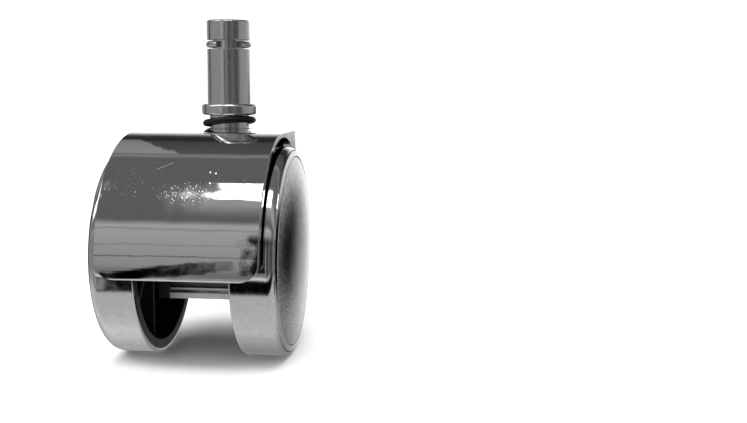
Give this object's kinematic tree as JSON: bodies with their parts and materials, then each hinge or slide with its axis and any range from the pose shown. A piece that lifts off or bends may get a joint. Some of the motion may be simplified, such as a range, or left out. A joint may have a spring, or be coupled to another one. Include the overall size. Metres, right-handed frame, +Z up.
{
  "type": "chair castor",
  "caption": "Hooded twin-wheel chair castor with a plain push-in stem and a split spring ring.",
  "frame": {"origin": "seat of the stem: centre of the collar's top face, which stops against the chair's socket", "axes": "+Z up along the stem, +X to the closed front of the hood, +Y to the castor's left along the axle"},
  "size_m": [0.0678, 0.045, 0.0808],
  "materials": {
    "steel": "turned and plated",
    "spring_steel": "drawn wire",
    "rubber": "matt",
    "hood_chrome": "dark polished chrome on die-cast zinc",
    "sleeve_nylon": "moulded",
    "wheel_nylon": "moulded",
    "tread_chrome": "polished",
    "trim_chrome": "polished",
    "face_satin": "satin"
  },
  "bodies": {
    "stem": {"stem": "steel", "grip_ring": "spring_steel", "stem_clip": "spring_steel", "rubber_ring": "rubber"},
    "fork": {"hood": "hood_chrome", "socket_sleeve": "sleeve_nylon", "thrust_pad": "steel", "axle": "steel", "washer_left": "steel", "washer_right": "steel", "push_nut_left": "spring_steel", "push_nut_right": "spring_steel"},
    "wheel_left": {"wheel_core_left": "wheel_nylon", "tread_left": "tread_chrome", "trim_ring_left": "trim_chrome", "face_disc_left": "face_satin"},
    "wheel_right": {"wheel_core_right": "wheel_nylon", "tread_right": "tread_chrome", "trim_ring_right": "trim_chrome", "face_disc_right": "face_satin"}
  },
  "joints": [
    {"name": "swivel", "type": "hinge", "parent": "stem", "child": "fork", "pos_m": [0, 0, -0.0134], "axis": [0, 0, 1], "continuous": true},
    {"name": "wheel_left_spin", "type": "hinge", "parent": "fork", "child": "wheel_left", "pos_m": [0.0222, 0.0135, -0.03455], "axis": [0, 1, 0], "continuous": true},
    {"name": "wheel_right_spin", "type": "hinge", "parent": "fork", "child": "wheel_right", "pos_m": [0.0222, -0.0135, -0.03455], "axis": [0, 1, 0], "continuous": true}
  ]
}
